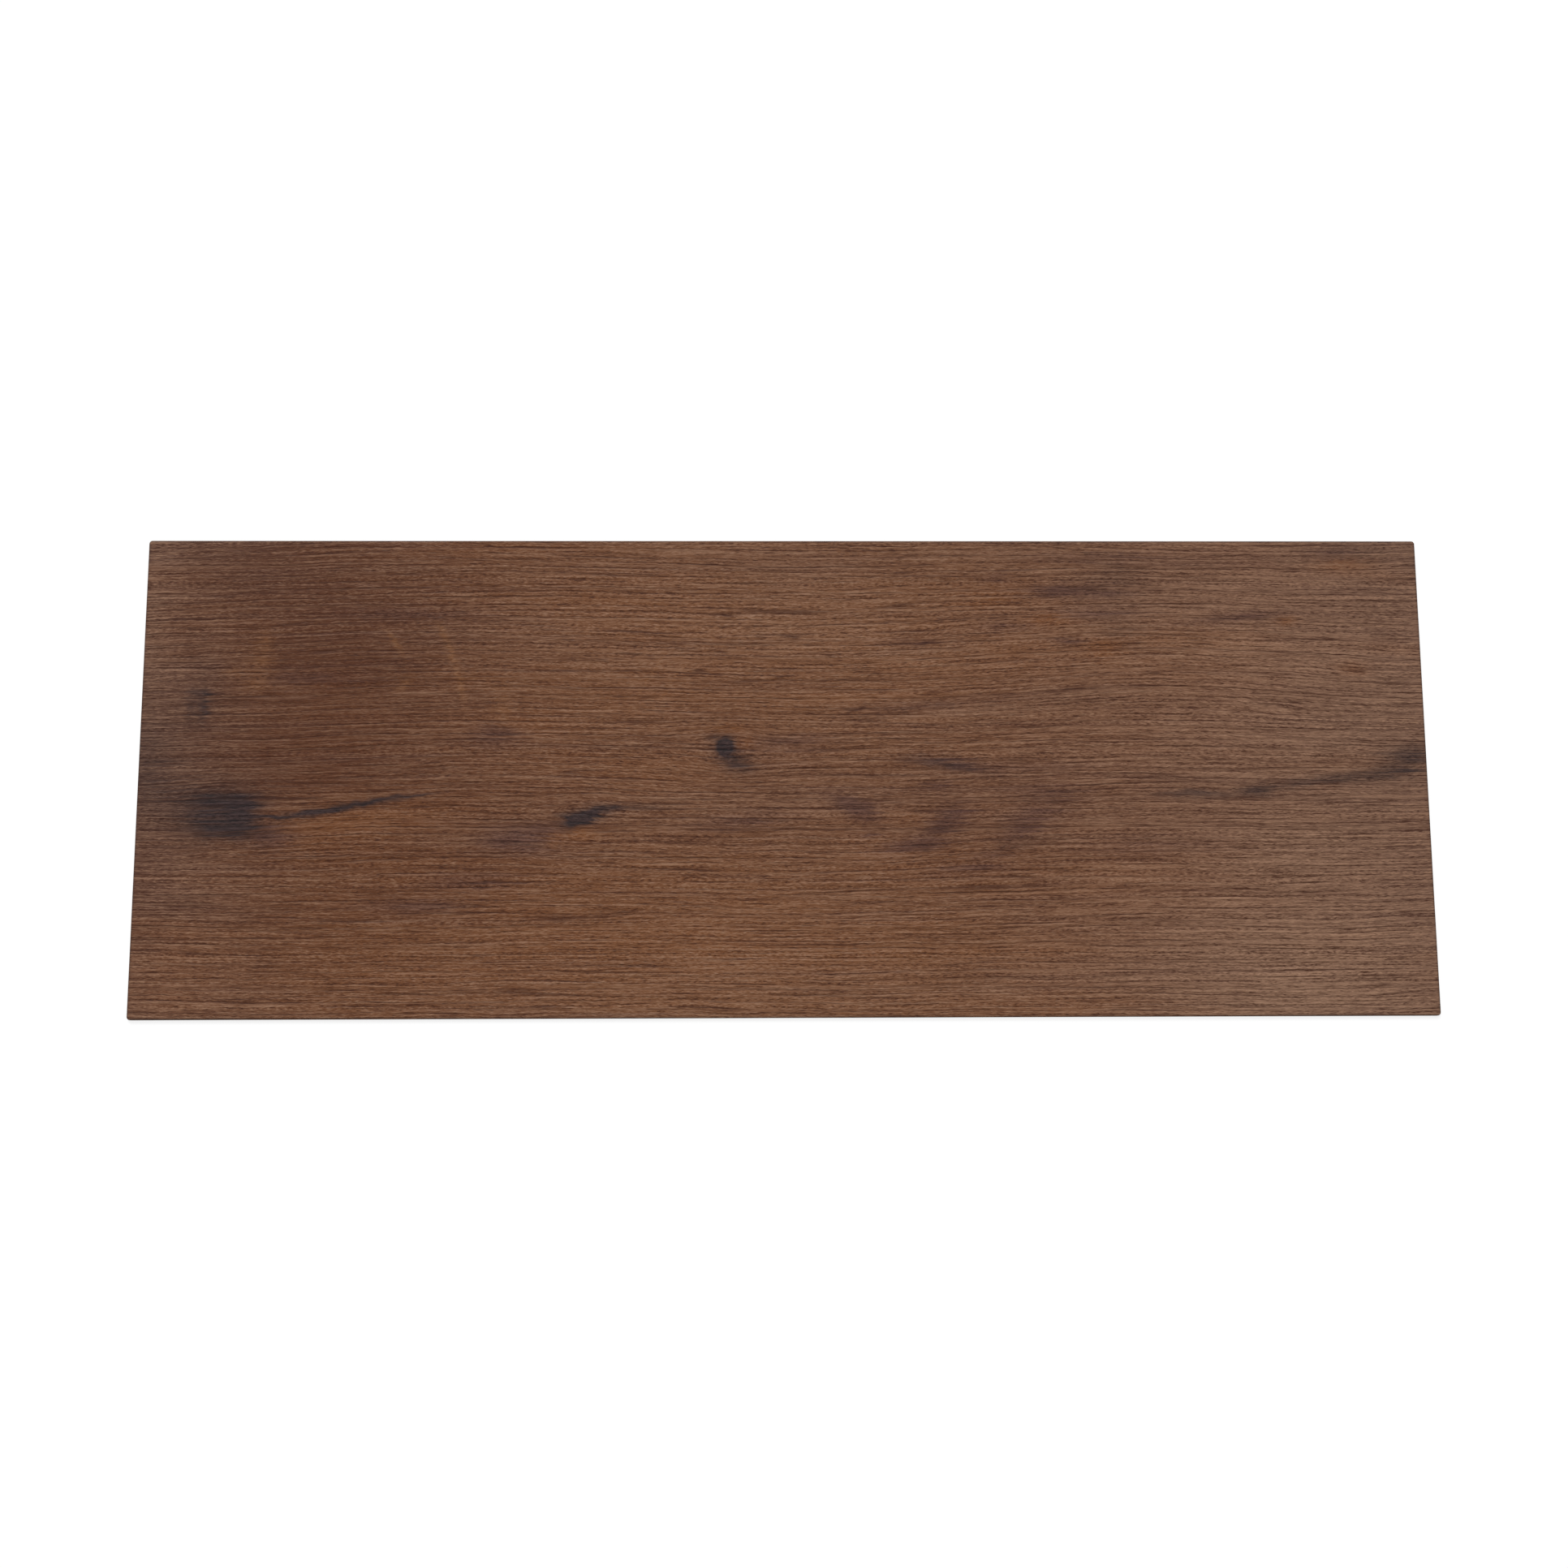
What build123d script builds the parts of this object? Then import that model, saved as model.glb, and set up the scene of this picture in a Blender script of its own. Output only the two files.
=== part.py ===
"""Self-adhesive vinyl floor plank, die-cut in one piece from printed and embossed PVC sheet.

X runs along the printed grain, Y across it and Z up through the sheet.
The origin is the middle of the adhesive back, which lies on the floor.
"""

import os

from build123d import *

# Driving dimensions, in millimetres.
plank_length = 609.6  # along the grain, 24 in
plank_width = 228.6  # across the grain, 9 in
sheet_thickness = 2.0  # from the adhesive back to the worn face
corner_radius = 1.5  # bend of the steel cutting rule at each corner of the die
arris_radius = 0.5  # edge of the face, rolled over as the die goes through the sheet

# Plank: the blank that the die cuts, as thick as the sheet, with its face edge rolled over.
# The die leaves the walls upright and the edge of the back crisp.
with BuildPart() as plank:
    with BuildSketch(Plane.XY) as blank:
        RectangleRounded(plank_length, plank_width, corner_radius)
    extrude(amount=sheet_thickness)
    worn_face = plank.faces().sort_by(Axis.Z)[-1]
    fillet(worn_face.edges(), radius=arris_radius)
plank.part.label = "plank"

os.makedirs("parts", exist_ok=True)
export_step(plank.part, "parts/plank.step")
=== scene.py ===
import math

import bmesh
import bpy
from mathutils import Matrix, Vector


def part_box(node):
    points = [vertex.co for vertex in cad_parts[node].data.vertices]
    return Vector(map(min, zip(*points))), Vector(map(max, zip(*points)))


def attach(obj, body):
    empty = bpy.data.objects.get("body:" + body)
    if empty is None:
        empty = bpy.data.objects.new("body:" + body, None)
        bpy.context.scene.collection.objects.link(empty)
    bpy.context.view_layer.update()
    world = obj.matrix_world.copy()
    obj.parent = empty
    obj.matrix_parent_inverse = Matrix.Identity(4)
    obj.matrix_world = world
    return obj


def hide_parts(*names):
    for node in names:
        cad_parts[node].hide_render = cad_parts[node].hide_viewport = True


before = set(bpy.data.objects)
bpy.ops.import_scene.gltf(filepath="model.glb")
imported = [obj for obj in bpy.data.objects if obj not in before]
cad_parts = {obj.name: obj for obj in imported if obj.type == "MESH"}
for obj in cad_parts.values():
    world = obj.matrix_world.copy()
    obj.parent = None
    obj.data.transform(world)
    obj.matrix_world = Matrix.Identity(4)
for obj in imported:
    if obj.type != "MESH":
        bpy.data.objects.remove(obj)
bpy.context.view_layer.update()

bpy.context.scene.view_settings.view_transform = "Standard"

# Plank: flexible PVC sheet, laminated from a filled core, a printed film and a clear wear layer.
# A steel-rule die cuts it from the sheet, rolling the edge of the face over and leaving the walls upright.
# Nothing is fixed to it: the adhesive all over its back holds it to the floor.
plank_low, plank_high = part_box("plank")
plank_length, plank_width, sheet_thickness = plank_high - plank_low
corner_radius = 0.0015
corner_steps = 5
corner_room = 0.0024  # length of outline that a rounded corner takes up, with its rolled edge
arris_radius = 0.0005
arris_steps = 4
rim_width = 0.0018  # border of the face that the rolled edge is taken from
grain_columns = 150
grain_rows = 590  # the grooves run along the plank, so the mesh is finer across it
hair = 0.00001  # places nearer than this are the same
steep = 0.5  # upward share of a normal that parts walls from faces
smooth_below = math.radians(35.0)


def pick_edges(wanted):
    """Select the edges that pass the test, and no others, in the mesh that is being edited."""
    mesh = bpy.context.edit_object.data
    bpy.ops.mesh.select_mode(type="EDGE")
    bpy.ops.mesh.select_all(action="DESELECT")
    shape = bmesh.from_edit_mesh(mesh)
    shape.normal_update()
    for edge in shape.edges:
        edge.select_set(wanted(edge))
    shape.select_flush_mode()
    bmesh.update_edit_mesh(mesh)


def near_corner(point, least):
    """True for a point on the wall of an end, between the least gap and the room that a corner takes."""
    gap = plank_width / 2 - abs(point.y)
    return abs(abs(point.x) - plank_length / 2) < hair and least < gap < corner_room


def crowds_corner(edge):
    """True for an edge that leaves the outline of an end where the corner is to be rounded."""
    first, second = [vertex.co for vertex in edge.verts]
    if abs(first.z - second.z) > hair:
        return near_corner(first, hair)
    inside = min(abs(first.y), abs(second.y)) < plank_width / 2 - hair
    leaves = abs(first.x - second.x) > hair
    return inside and leaves and (near_corner(first, -hair) or near_corner(second, -hair))


def upright_corner(edge):
    """True for the edge that stands where two walls meet."""
    ends = [vertex.co for vertex in edge.verts]
    at_end = all(abs(abs(point.x) - plank_length / 2) < hair for point in ends)
    at_side = all(abs(abs(point.y) - plank_width / 2) < hair for point in ends)
    return at_end and at_side


def face_arris(edge):
    """True for an edge between the worn face and a wall."""
    if len(edge.link_faces) != 2:
        return False
    turn = abs(edge.link_faces[0].normal.z - edge.link_faces[1].normal.z)
    lowest = min(vertex.co.z for vertex in edge.verts)
    return turn > steep and lowest > sheet_thickness - hair


bpy.ops.object.select_all(action="DESELECT")
bpy.ops.mesh.primitive_grid_add(
    x_subdivisions=grain_columns, y_subdivisions=grain_rows, size=1.0, location=(0.0, 0.0, sheet_thickness)
)
plank = bpy.context.active_object
plank.name = "plank_sheet"
plank.data.name = "plank_sheet"
field_length = plank_length - 2 * rim_width
field_width = plank_width - 2 * rim_width
plank.scale = (field_length, field_width, 1.0)
bpy.ops.object.transform_apply(location=True, rotation=True, scale=True)
bpy.ops.object.mode_set(mode="EDIT")

# The border of the face, the walls and the back.
bpy.ops.mesh.select_all(action="SELECT")
bpy.ops.mesh.region_to_loop()
bpy.ops.mesh.extrude_edges_move()
bpy.ops.transform.resize(
    value=(plank_length / field_length, plank_width / field_width, 1.0),
    center_override=(0.0, 0.0, sheet_thickness),
)
bpy.ops.mesh.extrude_edges_move(TRANSFORM_OT_translate={"value": (0.0, 0.0, -sheet_thickness)})
bpy.ops.mesh.edge_face_add()

# The die's bent corners, then the rolled edge of the face.
pick_edges(crowds_corner)
bpy.ops.mesh.dissolve_edges(use_verts=True)
pick_edges(upright_corner)
bpy.ops.mesh.bevel(offset=corner_radius, segments=corner_steps, profile=0.5, affect="EDGES")
pick_edges(face_arris)
bpy.ops.mesh.bevel(offset=arris_radius, segments=arris_steps, profile=0.5, affect="EDGES")
bpy.ops.mesh.select_all(action="SELECT")
bpy.ops.mesh.normals_make_consistent(inside=False)
bpy.ops.object.mode_set(mode="OBJECT")

# Relief that an embossing plate presses into the hot wear layer, along lines that the print follows too.
mm = 1000.0  # millimetres in a metre, for patterns and marks that are placed in millimetres
groove_depth = 0.00014
groove_edge = 0.54  # level of the long lines where a groove starts
groove_floor = 0.32  # level where it is deepest
plain_border = 1.2  # millimetres from the edge to where the relief starts
full_relief = 3.0  # millimetres from the edge to where it is full


def wire(tree, kind, inputs, **settings):
    """Add a node, set or link its inputs, and give it back."""
    node = tree.nodes.new(kind)
    for name, value in settings.items():
        setattr(node, name, value)
    for name, value in inputs.items():
        if isinstance(value, bpy.types.NodeSocket):
            tree.links.new(value, node.inputs[name])
        else:
            node.inputs[name].default_value = value
    return node


def calc(tree, operation, first, second=0.0, third=0.0):
    """One step of arithmetic."""
    return wire(tree, "ShaderNodeMath", {0: first, 1: second, 2: third}, operation=operation).outputs[0]


def ramp(tree, value, low, high, start=0.0, end=1.0):
    """Go smoothly from start to end as the value goes from low to high."""
    limits = {"Value": value, "From Min": low, "From Max": high, "To Min": start, "To Max": end}
    return wire(tree, "ShaderNodeMapRange", limits, interpolation_type="SMOOTHSTEP").outputs["Result"]


def streaks(tree, x, y, length, width, seed, detail=1.0, roughness=0.5, slide=0.0):
    """Noise drawn out along the grain, about 0.5 on average, with its rows slid past each other."""
    along = calc(tree, "MULTIPLY_ADD", x, 1.0 / length, seed)
    across = calc(tree, "MULTIPLY_ADD", y, 1.0 / width, seed)
    if slide:
        row_look = {"W": across, "Scale": 0.8, "Detail": 0.0}
        row = wire(tree, "ShaderNodeTexNoise", row_look, noise_dimensions="1D").outputs[0]
        along = calc(tree, "MULTIPLY_ADD", row, slide, along)
    place = wire(tree, "ShaderNodeCombineXYZ", {0: along, 1: across}).outputs[0]
    look = {"Vector": place, "Scale": 1.0, "Detail": detail, "Roughness": roughness}
    return wire(tree, "ShaderNodeTexNoise", look, noise_dimensions="2D").outputs[0]


def spot(tree, x, y, at, length, width, slope=0.0):
    """1 at a place on the plank, fading to 0 around it, and leaning by the slope."""
    along = calc(tree, "MULTIPLY_ADD", x, 1.0 / length, -at[0] / length)
    level = calc(tree, "MULTIPLY_ADD", x, -slope / width, (slope * at[0] - at[1]) / width)
    across = calc(tree, "MULTIPLY_ADD", y, 1.0 / width, level)
    square = calc(tree, "MULTIPLY", along, along)
    reach = calc(tree, "MULTIPLY_ADD", across, across, square)
    return calc(tree, "EXPONENT", calc(tree, "MULTIPLY", reach, -1.0))


def sway_by(tree, value, noise, reach):
    """Shift a place by noise, up to half the reach either way."""
    return calc(tree, "MULTIPLY_ADD", calc(tree, "SUBTRACT", noise, 0.5), reach, value)


def part_round(tree, x, y, flow, at, length, width, push):
    """Move the lines of the grain apart round a knot."""
    near = spot(tree, x, y, at=at, length=length, width=width)
    apart = calc(tree, "MULTIPLY", calc(tree, "SUBTRACT", y, at[1]), -push)
    return calc(tree, "MULTIPLY_ADD", near, apart, flow)


def grain_flow(tree, x, y):
    """Across the grain, in millimetres, with the lines waving, arching and parting round the knots."""
    wave = streaks(tree, x, y, length=230.0, width=90.0, seed=3.1, detail=0.0)
    flow = sway_by(tree, y, wave, reach=-8.0)
    ripple = streaks(tree, x, y, length=46.0, width=14.0, seed=8.7)
    flow = sway_by(tree, flow, ripple, reach=-1.6)
    arch = spot(tree, x, y, at=(190.0, 45.0), length=90.0, width=38.0)
    arch_rise = -5.0
    flow = calc(tree, "MULTIPLY_ADD", arch, arch_rise, flow)
    flow = part_round(tree, x, y, flow, at=(-30.0, 13.0), length=22.0, width=11.0, push=0.45)
    flow = part_round(tree, x, y, flow, at=(-262.0, -15.0), length=30.0, width=14.0, push=0.15)
    flow = part_round(tree, x, y, flow, at=(-95.0, -20.0), length=20.0, width=9.0, push=0.35)
    return flow


def crinkled(tree, x, flow):
    """Across the grain, with the small kinks of the fibres."""
    kink = streaks(tree, x, flow, length=5.0, width=1.6, seed=14.2, slide=3.0)
    return sway_by(tree, flow, kink, reach=0.7)


def grooves(tree, x, flow):
    """1 at the bottom of the long grooves that both the press and the print follow, and 0 between them."""
    line = streaks(tree, x, flow, length=80.0, width=1.9, seed=21.4, roughness=0.8, slide=3.0)
    return ramp(tree, line, groove_edge, groove_floor)


def edge_distance(tree, x, y):
    """Millimetres to the nearest edge of the plank."""
    end_gap = calc(tree, "SUBTRACT", plank_length / 2 * mm, calc(tree, "ABSOLUTE", x))
    side_gap = calc(tree, "SUBTRACT", plank_width / 2 * mm, calc(tree, "ABSOLUTE", y))
    return calc(tree, "MINIMUM", end_gap, side_gap)


press = bpy.data.node_groups.new("grain_press", "GeometryNodeTree")
press.interface.new_socket("Sheet", in_out="INPUT", socket_type="NodeSocketGeometry")
press.interface.new_socket("Sheet", in_out="OUTPUT", socket_type="NodeSocketGeometry")
sheet_in = press.nodes.new("NodeGroupInput").outputs[0]
place = wire(press, "GeometryNodeInputPosition", {}).outputs[0]
axes = wire(press, "ShaderNodeSeparateXYZ", {0: place})
along = calc(press, "MULTIPLY", axes.outputs[0], mm)
across = calc(press, "MULTIPLY", axes.outputs[1], mm)
share = ramp(press, edge_distance(press, along, across), plain_border, full_relief)
groove = grooves(press, along, grain_flow(press, along, across))
drop = calc(press, "MULTIPLY", calc(press, "MULTIPLY", groove, share), -groove_depth)
offset = wire(press, "ShaderNodeCombineXYZ", {2: drop}).outputs[0]
pressed = wire(press, "GeometryNodeSetPosition", {"Geometry": sheet_in, "Offset": offset}).outputs[0]
press.links.new(pressed, press.nodes.new("NodeGroupOutput").inputs[0])
relief = plank.modifiers.new("grain_press", "NODES")
relief.node_group = press
bpy.ops.object.modifier_apply(modifier=relief.name)
bpy.ops.object.shade_smooth_by_angle(angle=smooth_below)

# The oak figure printed on the film, with marks placed in millimetres from the middle of the plank.
print_finish = bpy.data.materials.new("oak_print")
print_finish.use_nodes = True
tree = print_finish.node_tree
tree.nodes.clear()


def swatch(red, green, blue):
    """A colour as on a swatch, 0 to 255, in the linear values that Blender mixes."""
    linear = [
        part / 12.92 if part <= 0.04045 else ((part + 0.055) / 1.055) ** 2.4
        for part in (red / 255.0, green / 255.0, blue / 255.0)
    ]
    return (linear[0], linear[1], linear[2], 1.0)


def fade(tree, amount, share):
    """Weaken an amount to a share of itself."""
    return calc(tree, "MULTIPLY", amount, share)


def tint(tree, amount, under, over):
    """Lay one colour over another by an amount from 0 to 1."""
    return wire(
        tree, "ShaderNodeMix", {0: amount, 6: under, 7: over}, data_type="RGBA", clamp_factor=True
    ).outputs[2]


# The end colours hold painted sheen as well as the wood's own brown: greyer and hazier than the middle.
end_brown_and_sheen = swatch(102, 71, 56)
dark_brown = swatch(104, 64, 39)
middle_brown = swatch(116, 76, 50)
right_brown_and_sheen = swatch(118, 83, 63)
orange_brown = swatch(122, 74, 38)
grey_brown = swatch(113, 81, 63)
red_brown = swatch(68, 41, 36)
red_dark = swatch(44, 22, 18)
red_light = swatch(92, 60, 52)
sheen_grey_end = swatch(117, 88, 72)
shade_brown = swatch(76, 40, 22)
pale_sheen_brown = swatch(136, 104, 83)
smoke_dark = swatch(13, 8, 12)
smoke_light = swatch(51, 37, 39)
ray_pale = swatch(134, 88, 52)
line_dark = swatch(56, 24, 8)
line_light = swatch(147, 111, 87)
line_pale_sheen = swatch(166, 131, 107)
# Painted shade for the rolled edge of the face.
edge_shade_brown = swatch(62, 44, 37)

place = wire(tree, "ShaderNodeTexCoord", {}).outputs["Object"]
axes = wire(tree, "ShaderNodeSeparateXYZ", {0: place})
along = calc(tree, "MULTIPLY", axes.outputs[0], mm)
across = calc(tree, "MULTIPLY", axes.outputs[1], mm)
flow = grain_flow(tree, along, across)

# Lines of the grain, from the widest to the finest.
kinked = crinkled(tree, along, flow)
zone = streaks(tree, along, flow, length=170.0, width=24.0, seed=40.2, detail=2.0)
band = streaks(tree, along, flow, length=150.0, width=5.0, seed=55.9, detail=2.0, roughness=0.6, slide=2.0)
groove = grooves(tree, along, flow)
thread = streaks(tree, along, kinked, length=70.0, width=1.25, seed=33.7, roughness=0.7, slide=3.0)
fine = streaks(tree, along, kinked, length=14.0, width=0.95, seed=63.3, detail=2.0, roughness=0.7, slide=3.0)
speck = streaks(tree, along, kinked, length=2.0, width=0.85, seed=47.1, roughness=0.6, slide=5.0)
vein = streaks(tree, along, flow, length=40.0, width=2.6, seed=17.7, detail=2.0, slide=2.0)


def ruled(spacing, stray, thin, seed, lower=0.0):
    """Long thin lines along the grain, about so far apart, that stray up and down without closing up."""
    sway = streaks(tree, along, kinked, length=220.0, width=6.0, seed=seed, roughness=0.45)
    start = calc(tree, "MULTIPLY_ADD", sway, stray, lower / spacing)
    count = calc(tree, "MULTIPLY_ADD", kinked, 1.0 / spacing, start)
    return ramp(tree, calc(tree, "PINGPONG", count, 0.5), thin / spacing, 0.0)


# A dark printed line where the sheet is pressed in, deepened with painted shade of the groove, and a painted
# highlight below it where the groove faces the light.
strong = ramp(tree, vein, low=0.38, high=0.64)
weak = ramp(tree, vein, low=0.6, high=0.36)
hairline = calc(tree, "MULTIPLY", ruled(spacing=2.9, stray=1.8, thin=0.36, seed=28.3), strong)
scratch = calc(tree, "MULTIPLY", ruled(spacing=3.7, stray=2.6, thin=0.32, seed=59.3), weak)
glint = calc(tree, "MULTIPLY", ruled(spacing=2.9, stray=1.8, thin=0.34, seed=28.3, lower=0.6), strong)
pore = streaks(tree, along, kinked, length=16.0, width=1.0, seed=71.8, slide=3.0)

# Marks have ragged ends, because the stain creeps along the fibres.
comb = streaks(tree, along, flow, length=50.0, width=1.8, seed=82.5, slide=2.0)
creep = sway_by(tree, 0.0, comb, reach=26.0)
wobble = streaks(tree, along, across, length=8.0, width=4.0, seed=90.6)
drift = sway_by(tree, across, wobble, reach=3.0)


class Stain:
    """A kind of mark that is laid down in several places and adds up."""

    def __init__(self):
        self.total = 0.0

    def lay(self, at, length, width, strength, slope=0.0, ragged=1.0):
        """Add one mark, sized in millimetres, with its ends clean at ragged 0 and drawn out at 1."""
        edge = calc(tree, "MULTIPLY_ADD", creep, ragged, along)
        mark = spot(tree, edge, drift, at, length, width, slope)
        self.total = calc(tree, "MULTIPLY_ADD", mark, strength, self.total)


smoke = Stain()
# The large knot near the dark end, darkest on its inner side, with its halo out to the edge.
smoke.lay(at=(-266.0, -17.5), length=19.0, width=12.5, strength=0.75, ragged=0.4)
smoke.lay(at=(-254.0, -18.5), length=7.5, width=8.0, strength=0.7, ragged=0.25)
smoke.lay(at=(-261.0, -26.5), length=14.0, width=5.0, strength=0.4, ragged=0.5)
smoke.lay(at=(-267.0, -10.5), length=17.0, width=3.6, strength=0.18, ragged=0.5)
smoke.lay(at=(-292.0, -6.0), length=20.0, width=22.0, strength=0.26)
smoke.lay(at=(-303.0, 7.0), length=14.0, width=24.0, strength=0.32)
smoke.lay(at=(-275.5, 32.5), length=2.4, width=7.5, strength=0.5, ragged=0.3)
smoke.lay(at=(-281.5, 33.0), length=2.2, width=6.5, strength=0.3, ragged=0.3)
smoke.lay(at=(-277.5, 39.5), length=7.0, width=2.2, strength=0.35, ragged=0.6)
smoke.lay(at=(-278.0, 33.0), length=9.0, width=10.0, strength=0.22, ragged=0.6)
smoke.lay(at=(-276.0, 52.0), length=9.0, width=13.0, strength=0.14)
smoke.lay(at=(-274.0, -22.0), length=12.0, width=7.0, strength=0.2, ragged=0.4)
# The crack that runs out of it.
smoke.lay(at=(-240.0, -19.9), length=9.0, width=0.8, strength=0.8, ragged=0.0)
smoke.lay(at=(-225.0, -17.9), length=11.0, width=1.6, strength=0.9, slope=0.1, ragged=0.0)
smoke.lay(at=(-207.0, -15.2), length=14.0, width=2.1, strength=0.85, slope=0.17, ragged=0.0)
smoke.lay(at=(-190.0, -11.7), length=13.0, width=1.4, strength=0.9, slope=0.14, ragged=0.0)
smoke.lay(at=(-174.0, -9.4), length=10.0, width=0.9, strength=0.8, slope=0.08, ragged=0.0)
# The small round knot in the middle, with a cloud below it.
smoke.lay(at=(-28.9, 13.8), length=3.2, width=3.5, strength=2.4, ragged=0.05)
smoke.lay(at=(-29.5, 12.0), length=7.0, width=7.5, strength=0.35, ragged=0.1)
smoke.lay(at=(-22.5, 5.8), length=7.5, width=5.0, strength=0.75, slope=-0.15, ragged=0.25)
smoke.lay(at=(-35.0, 17.8), length=4.0, width=1.6, strength=0.5, ragged=0.4)
# The slanting streak between the two.
smoke.lay(at=(-97.5, -21.3), length=7.0, width=3.2, strength=1.7, slope=0.22, ragged=0.25)
smoke.lay(at=(-104.0, -19.6), length=6.0, width=1.6, strength=0.5, ragged=0.4)
smoke.lay(at=(-87.0, -16.8), length=9.0, width=2.5, strength=0.95, slope=0.12, ragged=0.4)
smoke.lay(at=(-66.0, -15.6), length=15.0, width=1.6, strength=0.35)
# The long streak that leaves by the lighter end.
smoke.lay(at=(224.0, -8.0), length=10.0, width=2.6, strength=0.72, ragged=0.5)
smoke.lay(at=(192.0, -9.4), length=17.0, width=1.8, strength=0.6, ragged=0.8)
smoke.lay(at=(252.0, -3.4), length=24.0, width=2.8, strength=0.52, slope=0.12)
smoke.lay(at=(262.0, 0.0), length=55.0, width=14.0, strength=0.05)
smoke.lay(at=(288.0, 0.8), length=17.0, width=2.6, strength=0.6, slope=0.1)
smoke.lay(at=(297.0, 8.8), length=14.0, width=5.2, strength=0.75, slope=0.1)
# Faint clouds over the upper streaks there, and in the heart of the board.
smoke.lay(at=(120.0, 104.0), length=200.0, width=14.0, strength=0.05, ragged=0.0)
smoke.lay(at=(157.0, 96.0), length=12.0, width=10.0, strength=0.2)
smoke.lay(at=(160.0, 72.0), length=12.0, width=10.0, strength=0.14)
smoke.lay(at=(275.0, 110.0), length=30.0, width=5.0, strength=0.15)
smoke.lay(at=(76.0, 5.0), length=16.0, width=2.8, strength=0.5, slope=-0.14)
smoke.lay(at=(112.0, -34.0), length=18.0, width=3.6, strength=0.2, slope=0.15)

red = Stain()
# Round the slanting streak and the knots.
red.lay(at=(-126.0, -31.0), length=16.0, width=5.5, strength=1.1, ragged=0.5)
red.lay(at=(-112.0, -25.0), length=9.0, width=3.0, strength=0.4)
red.lay(at=(-148.0, -50.0), length=20.0, width=4.5, strength=0.6)
red.lay(at=(-174.0, -62.0), length=22.0, width=4.0, strength=0.55)
red.lay(at=(-243.0, -28.0), length=10.0, width=6.5, strength=0.8, ragged=0.3)
red.lay(at=(2.0, 15.4), length=18.0, width=3.2, strength=0.5, ragged=0.5)
red.lay(at=(-15.0, 8.0), length=26.0, width=9.0, strength=0.2)
red.lay(at=(68.0, -24.0), length=40.0, width=24.0, strength=0.1)
red.lay(at=(-24.0, -22.5), length=22.0, width=4.0, strength=0.5, slope=0.12)
# Three arcs side by side, each open to the left.
red.lay(at=(30.0, -14.0), length=10.0, width=4.0, strength=0.8, slope=-0.3, ragged=0.8)
red.lay(at=(36.0, -19.0), length=8.0, width=4.2, strength=0.65, slope=-0.3, ragged=0.7)
red.lay(at=(38.0, -29.0), length=5.0, width=1.2, strength=0.6, ragged=0.5)
red.lay(at=(79.0, -19.0), length=9.0, width=5.5, strength=0.65, slope=0.2, ragged=0.7)
red.lay(at=(73.0, -26.0), length=10.0, width=4.2, strength=0.75, slope=0.3, ragged=0.6)
red.lay(at=(60.0, -34.0), length=15.0, width=3.0, strength=0.85, slope=0.1, ragged=0.5)
red.lay(at=(117.0, -19.0), length=13.0, width=6.0, strength=0.65, slope=0.2, ragged=0.8)
red.lay(at=(110.0, -28.0), length=10.0, width=4.0, strength=0.55, slope=0.2, ragged=0.7)
red.lay(at=(99.0, -38.0), length=12.0, width=3.2, strength=0.45, slope=0.15, ragged=0.5)
red.lay(at=(122.0, -8.0), length=20.0, width=4.5, strength=0.45)
red.lay(at=(70.0, -5.4), length=9.0, width=1.8, strength=0.6)
red.lay(at=(86.0, -45.0), length=20.0, width=3.2, strength=0.45, slope=0.1, ragged=0.6)
red.lay(at=(79.0, 5.2), length=17.0, width=3.2, strength=0.7, slope=-0.14)
red.lay(at=(116.0, 4.0), length=26.0, width=3.0, strength=0.3)
red.lay(at=(70.0, 33.0), length=30.0, width=2.6, strength=0.4, slope=0.06)
red.lay(at=(58.0, 64.0), length=18.0, width=2.4, strength=0.35)
red.lay(at=(168.0, -34.0), length=30.0, width=5.0, strength=0.3)
# Streaks in the upper right.
red.lay(at=(138.0, 89.5), length=22.0, width=3.4, strength=1.0)
red.lay(at=(158.0, 106.0), length=36.0, width=2.6, strength=0.45)
red.lay(at=(265.0, 108.0), length=14.0, width=3.4, strength=0.45, ragged=0.5)
red.lay(at=(100.0, 95.5), length=8.0, width=2.0, strength=0.5, ragged=0.3)
red.lay(at=(150.0, 78.0), length=20.0, width=3.0, strength=0.6)
red.lay(at=(104.0, 72.0), length=12.0, width=2.2, strength=0.5)
red.lay(at=(134.0, 65.0), length=7.0, width=2.0, strength=0.6, ragged=0.5)
red.lay(at=(218.0, 76.5), length=26.0, width=2.4, strength=0.6, slope=0.1, ragged=0.5)
# Faint ones in the dark end.
red.lay(at=(-138.0, 19.0), length=13.0, width=7.0, strength=0.55, ragged=0.5)
red.lay(at=(-228.0, 47.0), length=30.0, width=3.0, strength=0.4)
red.lay(at=(-180.0, 78.0), length=34.0, width=3.0, strength=0.4)

# Broad tones of the board, darker for most of one end, and paler and greyer for most of the other, where the
# paleness is partly the wood's tone and partly painted sheen.
shade = Stain()
shade.lay(at=(-222.0, 55.0), length=62.0, width=58.0, strength=0.86, ragged=0.0)
shade.lay(at=(-178.0, 55.0), length=45.0, width=60.0, strength=0.18, ragged=0.0)
shade.lay(at=(-232.0, 5.0), length=42.0, width=22.0, strength=0.6, ragged=0.5)
shade.lay(at=(-262.0, 100.0), length=38.0, width=22.0, strength=0.3, ragged=0.5)
shade.lay(at=(-202.0, -58.0), length=75.0, width=55.0, strength=0.42, ragged=0.0)
shade.lay(at=(-125.0, -24.0), length=45.0, width=22.0, strength=0.15, ragged=0.0)
shade.lay(at=(-302.0, -58.0), length=12.0, width=38.0, strength=0.28, ragged=0.0)
shade.lay(at=(95.0, -20.0), length=60.0, width=36.0, strength=0.08, ragged=0.0)
shade.lay(at=(108.0, 40.0), length=45.0, width=14.0, strength=0.1)
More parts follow.
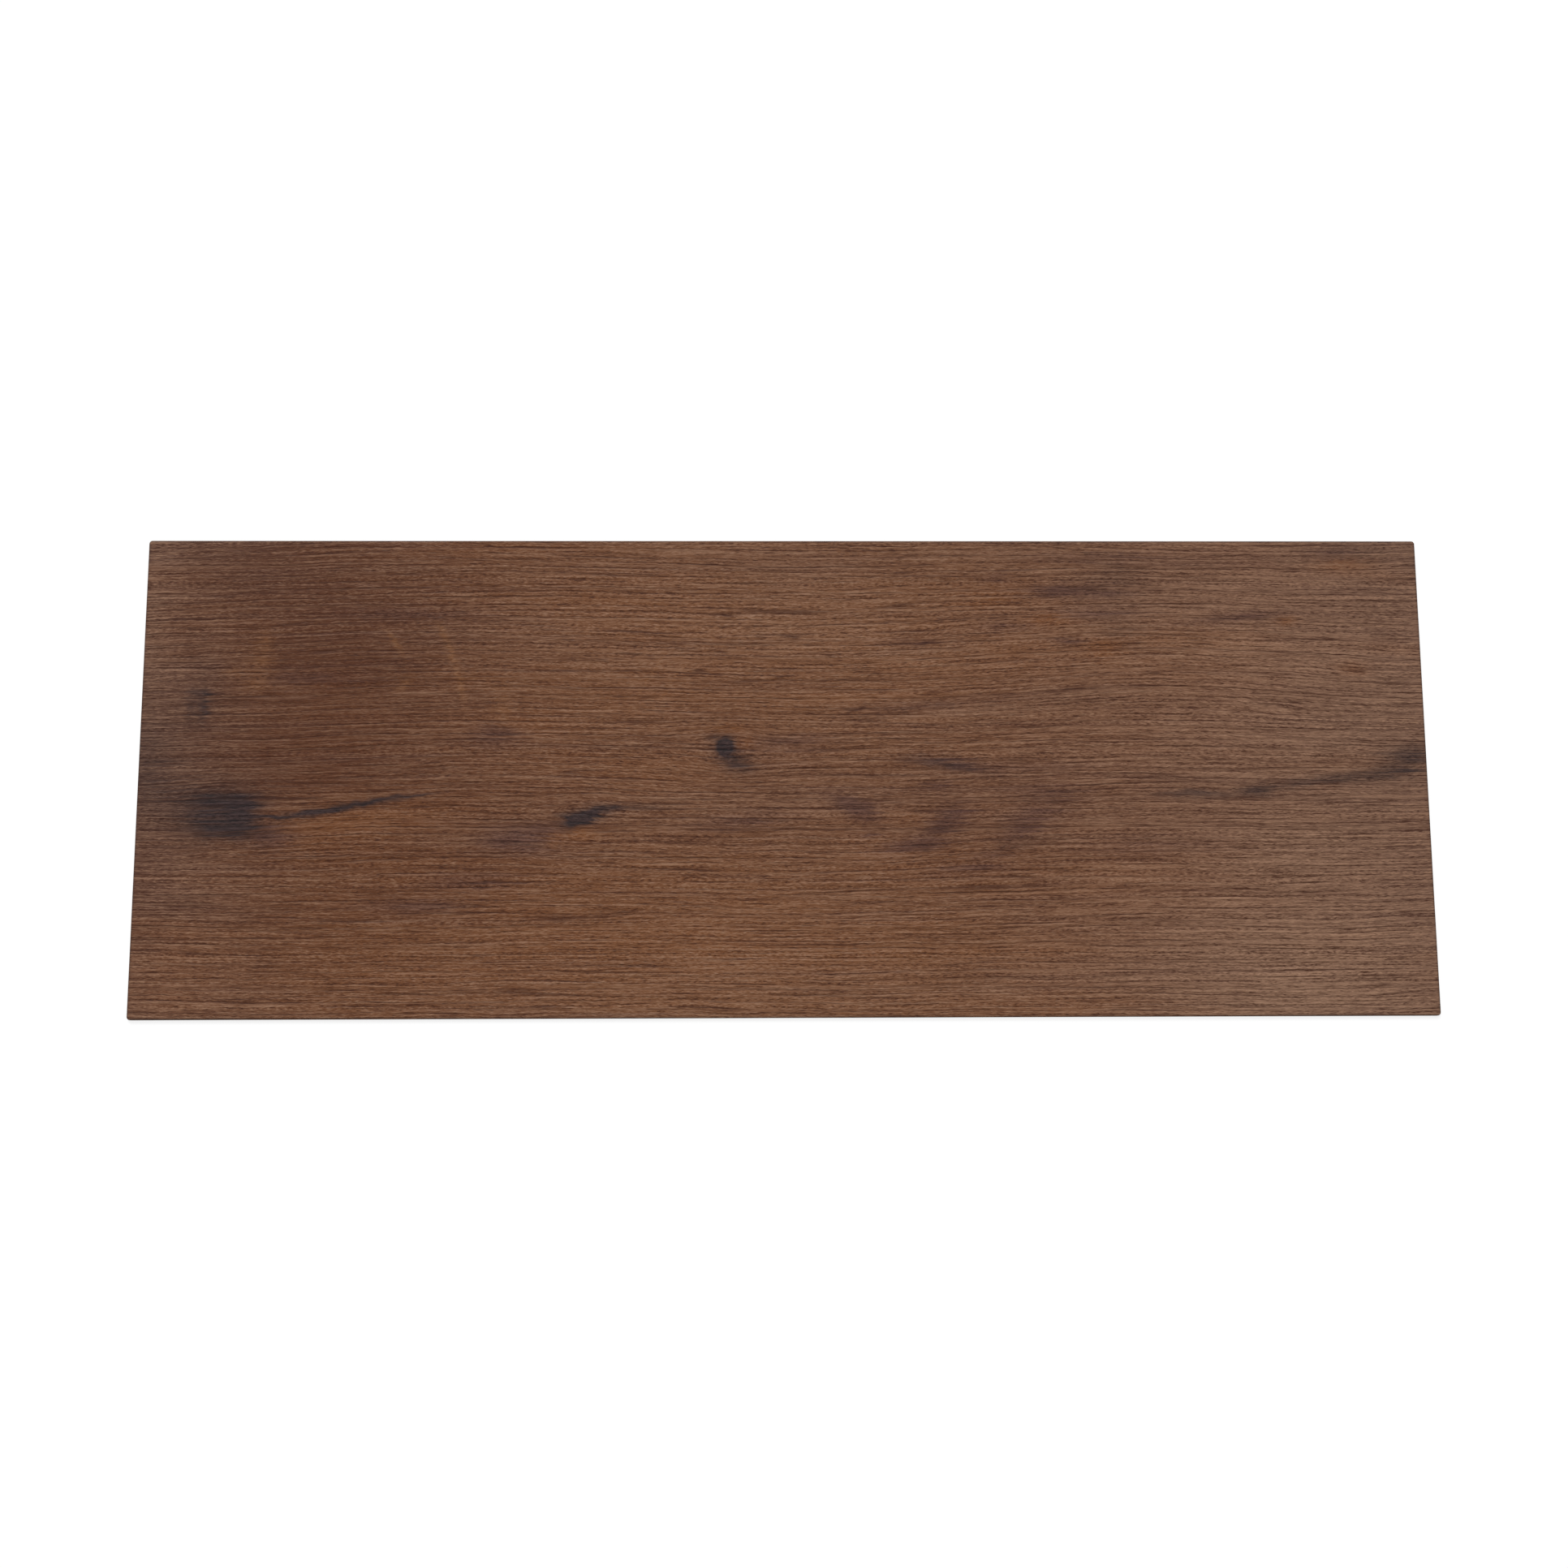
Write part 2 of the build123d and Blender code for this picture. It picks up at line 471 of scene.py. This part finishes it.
shade.lay(at=(15.0, -42.0), length=25.0, width=12.0, strength=0.1)
# Paler, greyer patches: at the lighter end partly painted sheen, elsewhere the board's own tone.
pale_and_sheen = Stain()
pale_and_sheen.lay(at=(240.0, -100.0), length=70.0, width=48.0, strength=0.72, ragged=0.0)
pale_and_sheen.lay(at=(237.0, -35.0), length=42.0, width=16.0, strength=0.3)
pale_and_sheen.lay(at=(250.0, 20.0), length=70.0, width=40.0, strength=0.34, ragged=0.0)
pale_and_sheen.lay(at=(225.0, 74.0), length=75.0, width=24.0, strength=0.2, ragged=0.0)
pale_and_sheen.lay(at=(205.0, 60.0), length=24.0, width=7.0, strength=0.2)
pale_and_sheen.lay(at=(12.0, 69.0), length=62.0, width=15.0, strength=0.3)
pale_and_sheen.lay(at=(-306.0, 68.0), length=14.0, width=36.0, strength=0.3, ragged=0.0)
pale_and_sheen.lay(at=(-80.0, -102.0), length=170.0, width=26.0, strength=0.26, ragged=0.0)

# Orange wood, in patches beside the marks and in broad zones between them.
warm = Stain()
warm.lay(at=(-205.0, -22.0), length=60.0, width=9.0, strength=0.5, slope=0.1)
warm.lay(at=(-98.0, -28.5), length=12.0, width=3.2, strength=1.0, ragged=0.4)
warm.lay(at=(-109.5, -30.0), length=2.4, width=5.0, strength=0.9, ragged=0.1)
warm.lay(at=(-19.8, 14.4), length=3.6, width=3.0, strength=1.8, slope=0.4, ragged=0.05)
warm.lay(at=(-26.0, 22.0), length=7.0, width=2.6, strength=1.0, ragged=0.3)
warm.lay(at=(58.0, -21.0), length=18.0, width=3.6, strength=0.4)
warm.lay(at=(97.0, 85.0), length=15.0, width=4.0, strength=0.6)
warm.lay(at=(127.0, 76.0), length=12.0, width=3.6, strength=0.8, ragged=0.5)
warm.lay(at=(153.0, 60.5), length=9.0, width=5.0, strength=0.7, ragged=0.4)
warm.lay(at=(241.0, 75.0), length=4.5, width=2.4, strength=0.6, ragged=0.4)
warm.lay(at=(270.0, 103.0), length=14.0, width=3.4, strength=0.6, ragged=0.5)
warm.lay(at=(271.0, 51.0), length=8.0, width=3.4, strength=0.4, ragged=0.5)
warm.lay(at=(-125.0, 25.0), length=20.0, width=5.0, strength=0.4)
warm.lay(at=(-60.0, -5.0), length=34.0, width=5.0, strength=0.3)
warm.lay(at=(-78.0, 45.0), length=70.0, width=38.0, strength=0.3, ragged=0.0)
warm.lay(at=(-218.0, 25.0), length=45.0, width=42.0, strength=0.25, ragged=0.0)
warm.lay(at=(-195.0, -38.0), length=65.0, width=36.0, strength=0.26, ragged=0.0)
warm.lay(at=(-285.0, -98.0), length=25.0, width=22.0, strength=0.35, ragged=0.0)
warm.lay(at=(35.0, 66.0), length=80.0, width=24.0, strength=0.28, ragged=0.0)
warm.lay(at=(190.0, 55.0), length=40.0, width=22.0, strength=0.25, ragged=0.0)
warm.lay(at=(170.0, -48.0), length=45.0, width=20.0, strength=0.2, ragged=0.0)
warm.lay(at=(-190.0, -92.0), length=80.0, width=28.0, strength=0.36, ragged=0.0)
warm.lay(at=(-65.0, -84.0), length=85.0, width=34.0, strength=0.5, ragged=0.0)
warm.lay(at=(40.0, -80.0), length=60.0, width=28.0, strength=0.26, ragged=0.0)

# Short dark ticks along the grain, scattered over the middle of the far half.
tick = Stain()
tick_marks = [
    ((-29.2, 77.5), 5.0),
    ((2.7, 66.7), 4.5),
    ((-31.0, 59.6), 3.0),
    ((-40.4, 49.8), 3.0),
    ((-2.5, 47.5), 4.0),
    ((66.5, 63.7), 5.0),
    ((34.6, 31.8), 8.0),
]
for middle, length in tick_marks:
    tick.lay(at=middle, length=length, width=0.7, strength=0.9, ragged=0.15)

# Pale ray flecks stand across the grain near the dark end.
fleck = Stain()
fleck.lay(at=(-248.0, 65.0), length=4.0, width=4.5, strength=0.4, ragged=0.3)
fleck.lay(at=(-249.0, 54.0), length=6.5, width=6.0, strength=0.45, ragged=0.3)
fleck.lay(at=(-251.0, 45.0), length=6.0, width=4.0, strength=0.45, ragged=0.3)
fleck.lay(at=(-262.0, 50.0), length=5.0, width=3.0, strength=0.35, ragged=0.3)
fleck.lay(at=(-186.0, 64.5), length=4.0, width=2.4, strength=0.6, slope=-1.2, ragged=0.1)
fleck.lay(at=(-181.0, 44.0), length=4.0, width=3.0, strength=0.5, slope=0.6, ragged=0.2)
fleck.lay(at=(-163.0, 68.0), length=4.0, width=3.4, strength=0.5, slope=-1.6, ragged=0.1)
fleck.lay(at=(-158.0, 55.0), length=3.0, width=5.0, strength=0.5, slope=-2.2, ragged=0.1)
fleck.lay(at=(-154.0, 41.0), length=2.4, width=6.0, strength=0.55, slope=-2.0, ragged=0.1)
fleck.lay(at=(-134.0, 30.0), length=4.0, width=14.0, strength=0.4, ragged=0.3)
fleck.lay(at=(-65.0, 47.0), length=6.0, width=1.6, strength=0.4, slope=1.6, ragged=0.1)
fleck.lay(at=(-56.0, 42.0), length=6.0, width=1.6, strength=0.4, slope=1.4, ragged=0.1)

# Colours of the figure, laid over each other from the ground up.
half_length = plank_length / 2 * mm
# The brown changes along the board, and its greyer, hazier ends are painted sheen, strongest at the lighter
# end.
colour = tint(tree, ramp(tree, along, low=-half_length, high=-205.0), end_brown_and_sheen, dark_brown)
colour = tint(tree, ramp(tree, along, low=-220.0, high=0.0), colour, middle_brown)
colour = tint(tree, ramp(tree, along, low=40.0, high=250.0), colour, right_brown_and_sheen)
colour = tint(tree, ramp(tree, along, low=215.0, high=half_length, start=0.0, end=0.7), colour, sheen_grey_end)
colour = tint(tree, ramp(tree, zone, low=0.5, high=0.75, start=0.0, end=0.34), colour, grey_brown)
colour = tint(tree, ramp(tree, zone, low=0.5, high=0.25, start=0.0, end=0.3), colour, orange_brown)
colour = tint(tree, pale_and_sheen.total, colour, pale_sheen_brown)
colour = tint(tree, shade.total, colour, shade_brown)
colour = tint(tree, warm.total, colour, orange_brown)
colour = tint(tree, fleck.total, colour, ray_pale)
colour = tint(tree, ramp(tree, band, low=0.5, high=0.25, start=0.0, end=0.23), colour, red_brown)
heart = spot(tree, along, across, at=(0.0, -5.0), length=900.0, width=40.0)
colour = tint(tree, fade(tree, heart, share=0.12), colour, red_brown)
colour = tint(tree, fade(tree, groove, share=0.06), colour, line_dark)
thread_share = 0.3
fine_share = 0.32
speck_share = 0.38
grain_level = calc(tree, "MULTIPLY_ADD", thread, thread_share, fade(tree, fine, share=fine_share))
grain_level = calc(tree, "MULTIPLY_ADD", speck, speck_share, grain_level)
colour = tint(tree, ramp(tree, grain_level, low=0.52, high=0.33, start=0.0, end=0.9), colour, line_dark)
shade_dims = 0.6  # share of the light strokes that full shade takes away
lit = calc(tree, "MULTIPLY_ADD", calc(tree, "MINIMUM", shade.total, 1.0), -shade_dims, 1.0)
lit = calc(tree, "MULTIPLY", ramp(tree, grain_level, low=0.47, high=0.67, start=0.0, end=0.85), lit)
# Light strokes turn paler under the paler patches and the painted sheen.
lit_tone = tint(tree, pale_and_sheen.total, line_light, line_pale_sheen)
colour = tint(tree, lit, colour, lit_tone)
# Painted highlight on the lit walls of the grooves.
colour = tint(tree, fade(tree, glint, share=0.4), colour, lit_tone)
# Dark print of the grooves, deepened with painted shade.
colour = tint(tree, fade(tree, hairline, share=0.86), colour, line_dark)
colour = tint(tree, fade(tree, scratch, share=0.65), colour, line_dark)
colour = tint(tree, ramp(tree, pore, low=0.33, high=0.2, start=0.0, end=0.7), colour, line_dark)
colour = tint(tree, tick.total, colour, line_dark)
ridge_tone = ramp(tree, grain_level, low=0.36, high=0.64)
red_lines = calc(tree, "MULTIPLY", red.total, ramp(tree, comb, low=0.3, high=0.65, start=1.3, end=0.7))
red_most = 0.75
red_lines = calc(tree, "MINIMUM", red_lines, red_most)
colour = tint(tree, red_lines, colour, tint(tree, ridge_tone, red_dark, red_light))
smoke_lines = calc(tree, "MULTIPLY", smoke.total, ramp(tree, comb, low=0.3, high=0.7, start=1.15, end=0.8))
smoke_most = 0.93
smoke_lines = calc(tree, "MINIMUM", smoke_lines, smoke_most)
colour = tint(tree, smoke_lines, colour, tint(tree, ridge_tone, smoke_dark, smoke_light))

# Painted shade along the rolled edge: the face darkens towards its edge all the way round.
edge_gap = edge_distance(tree, along, across)
colour = tint(tree, ramp(tree, edge_gap, low=1.4, high=0.2, start=0.0, end=0.45), colour, edge_shade_brown)

# The finest lines are too narrow for the mesh, so the finish carries them.
fine_depth = 0.0003
line_drop = 0.3  # how far a fine line sinks, as a share of that depth
fine_level = calc(tree, "MULTIPLY_ADD", hairline, -line_drop, grain_level)
fine_level = calc(tree, "MULTIPLY_ADD", scratch, -line_drop, fine_level)
fine_height = calc(tree, "MULTIPLY", fine_level, fine_depth)
raised = wire(tree, "ShaderNodeBump", {"Strength": 1.0, "Distance": 1.0, "Height": fine_height})
dull = ramp(tree, fine, low=0.3, high=0.7, start=0.62, end=0.5)
surface = wire(
    tree,
    "ShaderNodeBsdfPrincipled",
    {"Base Color": colour, "Roughness": dull, "Specular IOR Level": 0.15, "Normal": raised.outputs[0]},
)
wire(tree, "ShaderNodeOutputMaterial", {"Surface": surface.outputs[0]})
plank.data.materials.append(print_finish)

# The walls, where the die shears through the limestone-filled core under the printed film.
core_finish = bpy.data.materials.new("core_cut")
core_finish.use_nodes = True
tree = core_finish.node_tree
tree.nodes.clear()
core_grey = swatch(104, 92, 83)
core_dark = swatch(74, 64, 57)
film_brown = swatch(70, 46, 34)
lime_pale = swatch(150, 140, 130)
film_level = 0.0013  # bottom of the printed film and wear layer, above the back
film_blur = 0.00005
drag_depth = 0.00004
place = wire(tree, "ShaderNodeTexCoord", {}).outputs["Object"]
height = wire(tree, "ShaderNodeSeparateXYZ", {0: place}).outputs[2]
grit = wire(tree, "ShaderNodeTexNoise", {"Vector": place, "Scale": 2600.0, "Detail": 3.0}).outputs[0]
drawn = wire(tree, "ShaderNodeVectorMath", {0: place, 1: (1.0, 1.0, 0.08)}, operation="MULTIPLY").outputs[0]
drag = wire(tree, "ShaderNodeTexNoise", {"Vector": drawn, "Scale": 3200.0, "Detail": 2.0}).outputs[0]
colour = tint(tree, ramp(tree, drag, low=0.35, high=0.65), core_dark, core_grey)
colour = tint(tree, ramp(tree, grit, low=0.6, high=0.72, start=0.0, end=0.7), colour, lime_pale)
film = ramp(tree, height, film_level - film_blur, film_level + film_blur)
colour = tint(tree, film, colour, film_brown)
drag_height = calc(tree, "MULTIPLY", drag, drag_depth)
ridge = wire(tree, "ShaderNodeBump", {"Strength": 1.0, "Distance": 1.0, "Height": drag_height})
surface = wire(
    tree,
    "ShaderNodeBsdfPrincipled",
    {"Base Color": colour, "Roughness": 0.75, "Specular IOR Level": 0.2, "Normal": ridge.outputs[0]},
)
wire(tree, "ShaderNodeOutputMaterial", {"Surface": surface.outputs[0]})
plank.data.materials.append(core_finish)

# The back, the smooth underside of the core with a clear tacky adhesive rolled on all over.
back_finish = bpy.data.materials.new("adhesive_back")
back_finish.use_nodes = True
tree = back_finish.node_tree
tree.nodes.clear()
back_grey = swatch(134, 124, 113)
back_dark = swatch(127, 117, 106)
place = wire(tree, "ShaderNodeTexCoord", {}).outputs["Object"]
mottle = wire(tree, "ShaderNodeTexNoise", {"Vector": place, "Scale": 120.0, "Detail": 4.0}).outputs[0]
coat_depth = 0.00003
peel_depth = 0.00004
rolled = wire(tree, "ShaderNodeVectorMath", {0: place, 1: (0.04, 1.0, 1.0)}, operation="MULTIPLY").outputs[0]
coat = wire(tree, "ShaderNodeTexNoise", {"Vector": rolled, "Scale": 420.0, "Detail": 2.0}).outputs[0]
peel = wire(tree, "ShaderNodeTexNoise", {"Vector": place, "Scale": 900.0, "Detail": 2.0}).outputs[0]
colour = tint(tree, ramp(tree, mottle, low=0.35, high=0.65), back_dark, back_grey)
colour = tint(tree, ramp(tree, coat, low=0.4, high=0.7, start=0.0, end=0.6), colour, back_dark)
bumps = calc(tree, "MULTIPLY_ADD", coat, coat_depth, calc(tree, "MULTIPLY", peel, peel_depth))
tack = wire(tree, "ShaderNodeBump", {"Strength": 1.0, "Distance": 1.0, "Height": bumps})
gloss = ramp(tree, coat, low=0.3, high=0.7, start=0.42, end=0.28)
surface = wire(
    tree,
    "ShaderNodeBsdfPrincipled",
    {"Base Color": colour, "Roughness": gloss, "Specular IOR Level": 0.4, "Normal": tack.outputs[0]},
)
wire(tree, "ShaderNodeOutputMaterial", {"Surface": surface.outputs[0]})
plank.data.materials.append(back_finish)

# Faces that look sideways are cut wall, the one that looks down is back, and the rest carry the print.
wall_slot = 1
back_slot = 2
for polygon in plank.data.polygons:
    if polygon.normal.z < -steep:
        polygon.material_index = back_slot
    elif polygon.normal.z < steep:
        polygon.material_index = wall_slot

# Layout for the baked maps: the face gets most of the square, and the walls and the back narrow strips.
layout = plank.data.uv_layers.new(name="OFBake")


def strip(value, size, low=0.004, high=0.996):
    """Where a place, measured from the middle of a length, falls between two limits of the layout."""
    return low + (value / size + 0.5) * (high - low)


for polygon in plank.data.polygons:
    for corner in polygon.loop_indices:
        point = plank.data.vertices[plank.data.loops[corner].vertex_index].co
        rise = point.z - sheet_thickness / 2
        if polygon.material_index == back_slot:
            u = strip(point.x, plank_length)
            v = strip(point.y, plank_width, low=0.062, high=0.110)
        elif polygon.material_index != wall_slot:
            u = strip(point.x, plank_length)
            v = strip(point.y, plank_width, low=0.120)
        elif abs(polygon.normal.y) > abs(polygon.normal.x) and point.y < 0:
            u = strip(point.x, plank_length)
            v = strip(rise, sheet_thickness, low=0.006, high=0.016)
        elif abs(polygon.normal.y) > abs(polygon.normal.x):
            u = strip(point.x, plank_length)
            v = strip(rise, sheet_thickness, low=0.024, high=0.034)
        elif point.x < 0:
            u = strip(point.y, plank_width, high=0.49)
            v = strip(rise, sheet_thickness, low=0.042, high=0.052)
        else:
            u = strip(point.y, plank_width, low=0.51)
            v = strip(rise, sheet_thickness, low=0.042, high=0.052)
        layout.data[corner].uv = (u, v)

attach(plank, "root")
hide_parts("plank")

# Floor: a plain white studio floor under the plank, evenly bright, which keeps the plank's faint shadow.
# It belongs to the picture and not to the object.
floor_size = 6.0
floor_glow = 0.79  # share of the white that no shadow reaches
floor_grey = 0.25


def seen_rays(tree):
    """1 for rays from the camera, straight, mirrored or passed through, and 0 for the rest."""
    ray_kind = wire(tree, "ShaderNodeLightPath", {})
    seen = calc(tree, "MAXIMUM", ray_kind.outputs["Is Camera Ray"], ray_kind.outputs["Is Transmission Ray"])
    return calc(tree, "MAXIMUM", seen, ray_kind.outputs["Is Glossy Ray"])


bpy.ops.object.select_all(action="DESELECT")
bpy.ops.mesh.primitive_plane_add(size=floor_size, location=(0.0, 0.0, 0.0))
floor = bpy.context.active_object
floor.name = "floor"
floor_finish = bpy.data.materials.new("floor_white")
floor_finish.use_nodes = True
tree = floor_finish.node_tree
tree.nodes.clear()
seen = seen_rays(tree)
glow = wire(tree, "ShaderNodeEmission", {"Strength": calc(tree, "MULTIPLY", seen, floor_glow)})
matt = wire(tree, "ShaderNodeBsdfDiffuse", {"Color": (floor_grey, floor_grey, floor_grey, 1.0)})
both = wire(tree, "ShaderNodeAddShader", {0: glow.outputs[0], 1: matt.outputs[0]})
wire(tree, "ShaderNodeOutputMaterial", {"Surface": both.outputs[0]})
floor.data.materials.append(floor_finish)

# Studio: a broad soft light beyond the far edge picks out the grooves, and white walls fill the rest.
room_level = 0.475
key_level = 2.0
key_height = math.radians(45.0)
key_side = math.radians(12.0)
key_softness = math.radians(30.0)
room = bpy.data.worlds.new("white_room")
bpy.context.scene.world = room
room.use_nodes = True
tree = room.node_tree
tree.nodes.clear()
level = calc(tree, "MULTIPLY_ADD", seen_rays(tree), 1.0 - room_level, room_level)
walls = wire(tree, "ShaderNodeBackground", {"Color": (1.0, 1.0, 1.0, 1.0), "Strength": level})
wire(tree, "ShaderNodeOutputWorld", {"Surface": walls.outputs[0]})

bpy.ops.object.light_add(type="SUN", location=(0.0, 0.0, 1.0))
key = bpy.context.active_object
key.name = "key_light"
key.data.energy = key_level
key.data.angle = key_softness
key.rotation_euler = (key_height - math.pi / 2, 0.0, key_side)

# Camera: above the near edge, tipped a little towards the far one.
focal_pixels = 2500.0
picture_pixels = 1932.0
sensor = 36.0
camera_place = (-0.0175, -0.1613, 0.9472)
camera_tip = math.radians(9.423)
camera_roll = math.radians(-0.967)
camera_turn = math.radians(-0.091)
bpy.ops.object.camera_add(location=camera_place)
camera = bpy.context.active_object
camera.name = "camera"
camera.rotation_mode = "YXZ"
camera.rotation_euler = (camera_tip, camera_roll, camera_turn)
camera.data.sensor_width = sensor
camera.data.lens = sensor * focal_pixels / picture_pixels
bpy.context.scene.camera = camera
